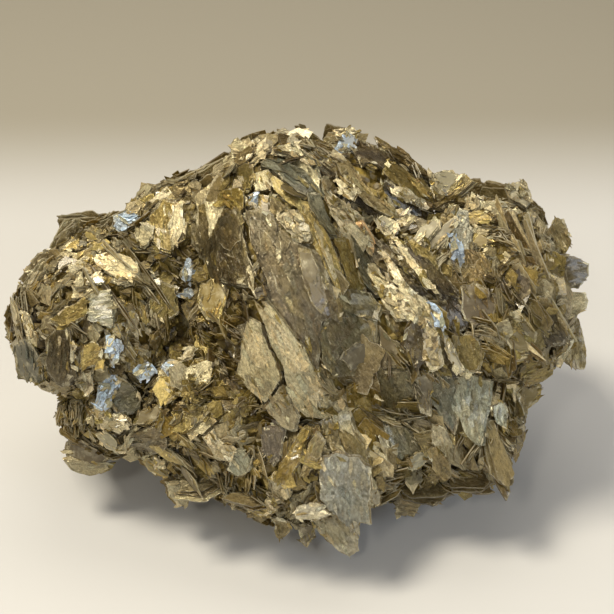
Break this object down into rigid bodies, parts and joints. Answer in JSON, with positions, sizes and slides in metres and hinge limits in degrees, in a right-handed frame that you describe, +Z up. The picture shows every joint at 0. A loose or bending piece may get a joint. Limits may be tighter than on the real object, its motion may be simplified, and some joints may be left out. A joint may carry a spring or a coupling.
{
  "type": "mica crystal",
  "caption": "Cluster of intergrown platy mica books that bristle on all sides, resting on a flat cleaved base.",
  "frame": {"origin": "middle of the bounding box on the surface that the cluster rests on", "axes": "+X to the right of the display face, which leans back and looks towards -Y and +Z; +Z up"},
  "size_m": [0.1434, 0.0958, 0.0938],
  "materials": {
    "mica": "pearly to glassy cleaved sheets, silver-brown and olive-gold, with cream broken edges"
  },
  "bodies": {
    "root": {"mica_cluster": "mica"}
  },
  "joints": []
}
